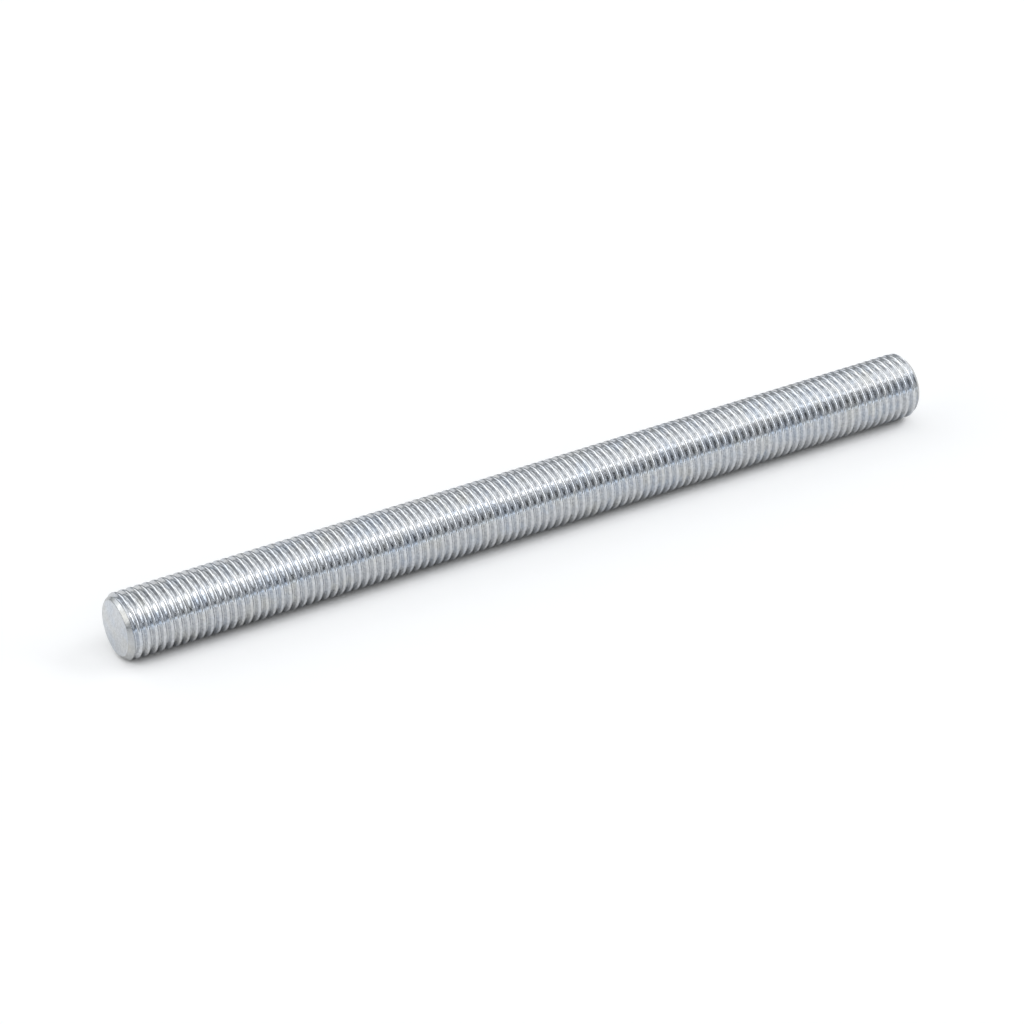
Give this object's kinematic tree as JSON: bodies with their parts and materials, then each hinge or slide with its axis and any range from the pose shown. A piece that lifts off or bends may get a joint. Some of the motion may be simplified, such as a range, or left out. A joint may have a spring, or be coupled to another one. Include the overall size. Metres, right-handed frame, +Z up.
{
  "type": "threaded rod",
  "caption": "Straight steel rod with a metric coarse thread from end to end, flat end faces and a chamfer at each end.",
  "frame": {"origin": "bottom centre of the rod as it lies, on the surface it rests on, under the middle of its length", "axes": "+X along the rod's axis, +Z up; the rod is turned about its own axis only, so +Y and -Y are alike"},
  "size_m": [0.215, 0.016, 0.016],
  "materials": {
    "zinc_plated_steel": "bright zinc plating with a faint blue cast over rolled steel, semi-gloss"
  },
  "bodies": {
    "root": {"rod": "zinc_plated_steel"}
  },
  "joints": []
}
